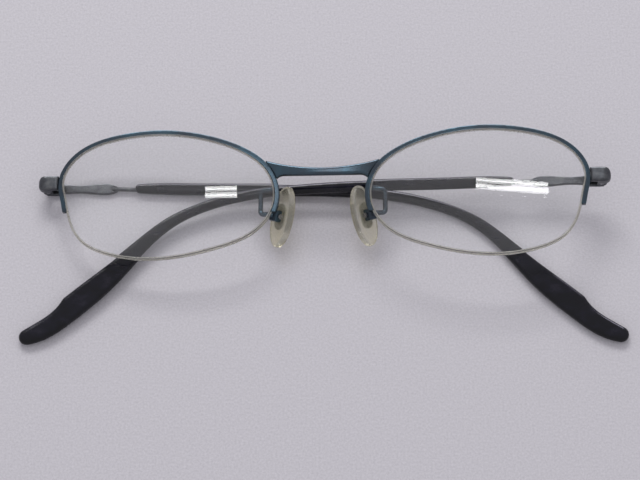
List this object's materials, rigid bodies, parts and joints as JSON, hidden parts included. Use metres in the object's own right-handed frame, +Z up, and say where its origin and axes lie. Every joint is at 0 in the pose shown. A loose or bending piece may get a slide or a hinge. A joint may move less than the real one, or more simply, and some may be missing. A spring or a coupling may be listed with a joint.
{
  "type": "eyeglasses",
  "caption": "Folded half-rim metal eyeglasses with nylon-held lenses, silicone nose pads on wire arms and temples with black sleeves.",
  "frame": {"origin": "on the surface the folded glasses lie on, under the middle of their bounding box", "axes": "+X along the front from the outer folded temple's hinge to the inner one's, +Y to the brow side of the lenses, +Z up, out of the front of the lenses"},
  "size_m": [0.1366, 0.0492, 0.0139],
  "materials": {
    "frame_metal": "slate blue plated titanium, satin gloss",
    "temple_metal": "grey-green satin plated titanium",
    "screw_metal": "small turned steel screws",
    "insert_metal": "dull metal core",
    "lens_clear": "clear polished demonstration lens",
    "nylon": "clear nylon line, slightly yellowed",
    "pad_silicone": "soft translucent silicone, yellowed with age",
    "sleeve_black": "glossy black plastic with a violet cast"
  },
  "bodies": {
    "front": {"bridge": "frame_metal", "rim_right": "frame_metal", "rim_left": "frame_metal", "rim_liner_right": "nylon", "rim_liner_left": "nylon", "lens_right": "lens_clear", "lens_left": "lens_clear", "nylon_cord_right": "nylon", "nylon_cord_left": "nylon", "end_piece_right": "temple_metal", "end_piece_left": "temple_metal", "front_hinge_leaf_right": "temple_metal", "front_hinge_leaf_left": "temple_metal", "hinge_screw_right": "screw_metal", "hinge_screw_left": "screw_metal", "pad_arm_right": "frame_metal", "pad_arm_left": "frame_metal", "pad_box_right": "frame_metal", "pad_box_left": "frame_metal", "pad_screw_right": "screw_metal", "pad_screw_left": "screw_metal"},
    "right_temple": {"temple_blade_right": "temple_metal", "temple_hinge_leaf_right": "temple_metal", "temple_wire_right": "temple_metal", "temple_sleeve_right": "sleeve_black"},
    "left_temple": {"temple_blade_left": "temple_metal", "temple_hinge_leaf_left": "temple_metal", "temple_wire_left": "temple_metal", "temple_sleeve_left": "sleeve_black"},
    "right_nose_pad": {"nose_pad_right": "pad_silicone", "pad_insert_right": "insert_metal"},
    "left_nose_pad": {"nose_pad_left": "pad_silicone", "pad_insert_left": "insert_metal"}
  },
  "joints": [
    {"name": "right_temple_fold", "type": "hinge", "parent": "front", "child": "right_temple", "pos_m": [0.06284, 0.01303, 0.0082], "axis": [0, -1, 0], "range_deg": [0, 94]},
    {"name": "left_temple_fold", "type": "hinge", "parent": "front", "child": "left_temple", "pos_m": [-0.06301, 0.01366, 0.00218], "axis": [0, 1, 0], "range_deg": [0, 91]},
    {"name": "right_pad_rock", "type": "hinge", "parent": "front", "child": "right_nose_pad", "pos_m": [0.01018, 0.00474, 0.00678], "axis": [0.6807, 0.4315, -0.592], "range_deg": [-6, 6]},
    {"name": "left_pad_rock", "type": "hinge", "parent": "front", "child": "left_nose_pad", "pos_m": [-0.01054, 0.00484, 0.00579], "axis": [-0.6168, 0.438, -0.654], "range_deg": [-6, 6]}
  ]
}
